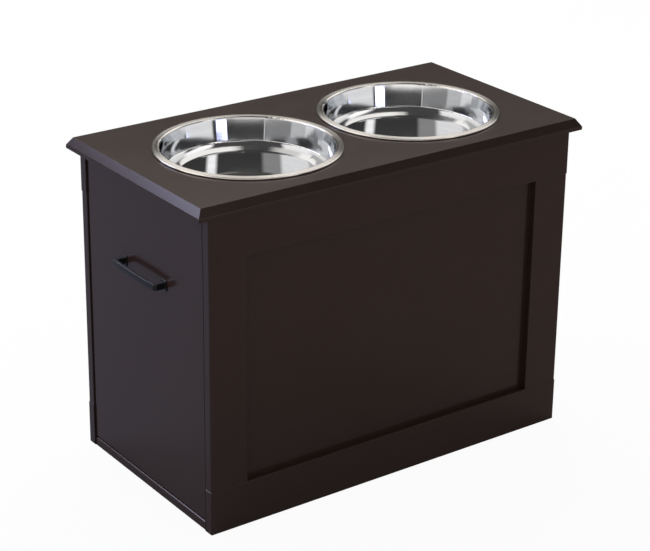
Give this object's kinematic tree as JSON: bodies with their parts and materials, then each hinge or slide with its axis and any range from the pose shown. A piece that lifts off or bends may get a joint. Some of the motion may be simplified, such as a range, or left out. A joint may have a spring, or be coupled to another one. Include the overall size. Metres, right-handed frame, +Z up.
{
  "type": "elevated dog feeder with storage drawer",
  "caption": "Raised wooden dog feeder whose bevelled top holds lift-out steel bowls over a framed cabinet with a deep food drawer that pulls out at its end.",
  "frame": {"origin": "on the floor under the middle of the cabinet", "axes": "+X along the cabinet's length, away from the end with the drawer; -Y towards the framed front in the picture; +Z up"},
  "size_m": [0.6, 0.318, 0.4431],
  "materials": {
    "espresso_wood": "dark espresso brown satin lacquer",
    "pale_board": "plain pale board, sealed",
    "bowl_steel": "bright turned stainless steel",
    "handle_black": "satin black coating",
    "runner_enamel": "off-white baked coating",
    "roller_plastic": "moulded white plastic",
    "zinc": "bright zinc plate"
  },
  "bodies": {
    "cabinet": {"back_batten": "pale_board", "back_bottom_rail": "espresso_wood", "back_cabinet_runner": "runner_enamel", "back_left_stile": "espresso_wood", "back_panel": "espresso_wood", "back_right_stile": "espresso_wood", "back_top_rail": "espresso_wood", "batten_screws": "zinc", "cabinet_cam_bolts": "zinc", "cabinet_cam_locks": "zinc", "cabinet_roller_rivets": "zinc", "cabinet_runner_screws": "zinc", "floor_board": "espresso_wood", "frame_dowels": "pale_board", "front_batten": "pale_board", "front_bottom_rail": "espresso_wood", "front_cabinet_runner": "runner_enamel", "front_left_stile": "espresso_wood", "front_panel": "espresso_wood", "front_right_stile": "espresso_wood", "front_top_rail": "espresso_wood", "right_end_panel": "espresso_wood", "top_panel": "espresso_wood"},
    "drawer": {"drawer_back": "pale_board", "drawer_back_screws": "zinc", "drawer_back_side": "pale_board", "drawer_bottom": "pale_board", "drawer_cam_bolts": "zinc", "drawer_cam_locks": "zinc", "drawer_front": "espresso_wood", "drawer_front_side": "pale_board", "drawer_roller_rivets": "zinc", "drawer_runner_screws": "zinc", "front_drawer_runner": "runner_enamel", "back_drawer_runner": "runner_enamel", "handle": "handle_black", "handle_screws": "zinc"},
    "front_cabinet_roller": {"front_cabinet_roller": "roller_plastic"},
    "back_cabinet_roller": {"back_cabinet_roller": "roller_plastic"},
    "front_drawer_roller": {"front_drawer_roller": "roller_plastic"},
    "back_drawer_roller": {"back_drawer_roller": "roller_plastic"},
    "left_bowl": {"left_bowl": "bowl_steel"},
    "right_bowl": {"right_bowl": "bowl_steel"}
  },
  "joints": [
    {"name": "drawer_slide", "type": "slide", "parent": "cabinet", "child": "drawer", "axis": [-1, 0, 0], "range_m": [0, 0.37]},
    {"name": "front_cabinet_roller_spin", "type": "hinge", "parent": "cabinet", "child": "front_cabinet_roller", "pos_m": [-0.2495, -0.1329, 0.0322], "axis": [0, -1, 0], "range_deg": [0, 2360]},
    {"name": "back_cabinet_roller_spin", "type": "hinge", "parent": "cabinet", "child": "back_cabinet_roller", "pos_m": [-0.2495, 0.1329, 0.0322], "axis": [0, -1, 0], "range_deg": [0, 2360]},
    {"name": "front_drawer_roller_spin", "type": "hinge", "parent": "drawer", "child": "front_drawer_roller", "pos_m": [0.2225, -0.1329, 0.0315], "axis": [0, -1, 0], "range_deg": [0, 2125]},
    {"name": "back_drawer_roller_spin", "type": "hinge", "parent": "drawer", "child": "back_drawer_roller", "pos_m": [0.2225, 0.1329, 0.0315], "axis": [0, -1, 0], "range_deg": [0, 2125]},
    {"name": "left_bowl_lift", "type": "slide", "parent": "cabinet", "child": "left_bowl", "axis": [0, 0, 1], "range_m": [0, 0.12]},
    {"name": "right_bowl_lift", "type": "slide", "parent": "cabinet", "child": "right_bowl", "axis": [0, 0, 1], "range_m": [0, 0.12]}
  ],
  "couplings": [
    {"joint": "front_cabinet_roller_spin", "follows": "drawer_slide", "rad_per_m": 111.11},
    {"joint": "back_cabinet_roller_spin", "follows": "drawer_slide", "rad_per_m": 111.11},
    {"joint": "front_drawer_roller_spin", "follows": "drawer_slide", "rad_per_m": 100},
    {"joint": "back_drawer_roller_spin", "follows": "drawer_slide", "rad_per_m": 100}
  ]
}
